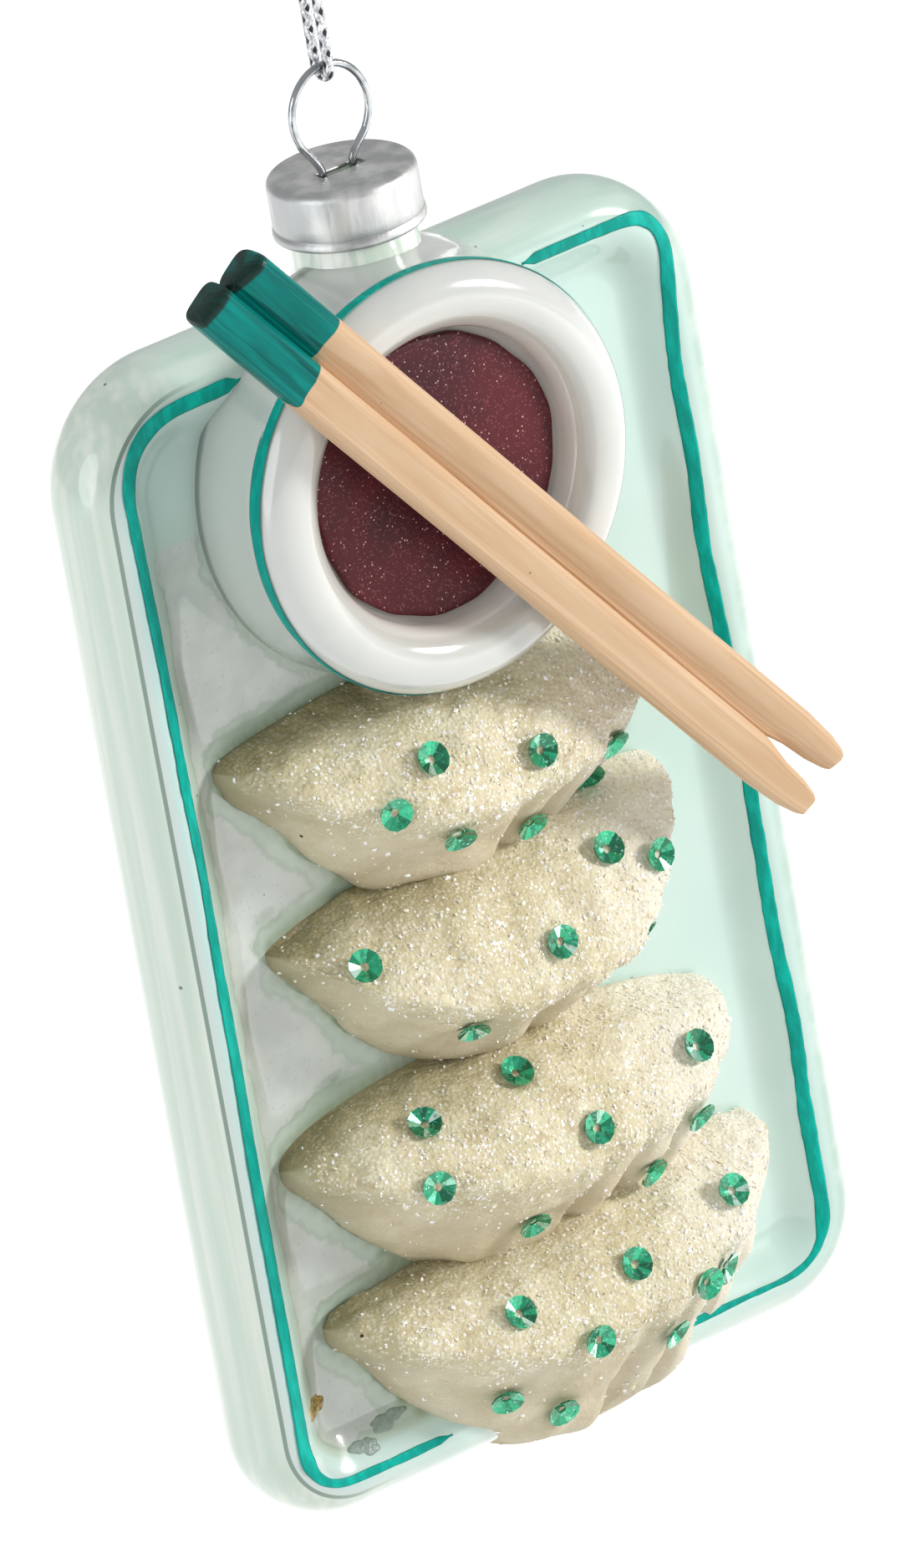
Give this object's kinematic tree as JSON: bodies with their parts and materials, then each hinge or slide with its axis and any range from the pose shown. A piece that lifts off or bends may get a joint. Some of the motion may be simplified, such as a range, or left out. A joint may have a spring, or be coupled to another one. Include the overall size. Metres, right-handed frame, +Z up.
{
  "type": "dumpling tray ornament",
  "caption": "Blown glass hanging ornament: a tray of glittered, sequinned dumplings, a bowl of dipping sauce and chopsticks, under a metal cap with a wire loop and a silver cord.",
  "frame": {"origin": "top of the cord's knot, where the ornament hangs", "axes": "+Z up along the cord, +X to the right of the tray seen from its front, +Y out of the tray's flat back"},
  "size_m": [0.065, 0.023, 0.1461],
  "materials": {
    "mint_glass": "clear blown glass over a pale mint lining, glossy",
    "white_glass": "blown glass with a white lining, glossy",
    "sauce_paint": "maroon paint with fine glitter",
    "frosted_cream": "cream paint frosted with coarse sugar-like glitter",
    "emerald_sequin": "metallic emerald film",
    "painted_wood": "matte peach paint with teal ends, brushed by hand",
    "satin_aluminium": "satin",
    "steel_wire": "bright drawn wire",
    "silver_cord": "braided metallic thread"
  },
  "bodies": {
    "cord": {"hanging_cord": "silver_cord", "cord_knot": "silver_cord"},
    "hanger": {"hanger_wire": "steel_wire"},
    "cap": {"cap": "satin_aluminium"},
    "glass": {"tray_shell": "mint_glass", "sauce_bowl": "white_glass", "sauce_pool": "sauce_paint", "dumpling_1": "frosted_cream", "dumpling_2": "frosted_cream", "dumpling_3": "frosted_cream", "dumpling_4": "frosted_cream", "sequin_1_1": "emerald_sequin", "sequin_1_2": "emerald_sequin", "sequin_1_3": "emerald_sequin", "sequin_1_4": "emerald_sequin", "sequin_1_5": "emerald_sequin", "sequin_1_6": "emerald_sequin", "sequin_1_7": "emerald_sequin", "sequin_2_1": "emerald_sequin", "sequin_2_2": "emerald_sequin", "sequin_2_3": "emerald_sequin", "sequin_2_4": "emerald_sequin", "sequin_2_5": "emerald_sequin", "sequin_2_6": "emerald_sequin", "sequin_3_1": "emerald_sequin", "sequin_3_2": "emerald_sequin", "sequin_3_3": "emerald_sequin", "sequin_3_4": "emerald_sequin", "sequin_3_5": "emerald_sequin", "sequin_3_6": "emerald_sequin", "sequin_3_7": "emerald_sequin", "sequin_3_8": "emerald_sequin", "sequin_4_1": "emerald_sequin", "sequin_4_2": "emerald_sequin", "sequin_4_3": "emerald_sequin", "sequin_4_4": "emerald_sequin", "sequin_4_5": "emerald_sequin", "sequin_4_6": "emerald_sequin", "sequin_4_7": "emerald_sequin", "sequin_4_8": "emerald_sequin", "sequin_4_9": "emerald_sequin", "chopstick_upper": "painted_wood", "chopstick_lower": "painted_wood"}
  },
  "joints": [
    {"name": "loop_swing", "type": "hinge", "parent": "cord", "child": "hanger", "pos_m": [0, 0, -0.0179], "axis": [1, 0, 0], "range_deg": [-75, 75]},
    {"name": "wire_in_cap", "type": "slide", "parent": "hanger", "child": "cap", "axis": [0, 0, -1], "range_m": [0, 0.006]},
    {"name": "cap_pull_off", "type": "slide", "parent": "cap", "child": "glass", "axis": [0, 0, -1], "range_m": [0, 0.016]}
  ]
}
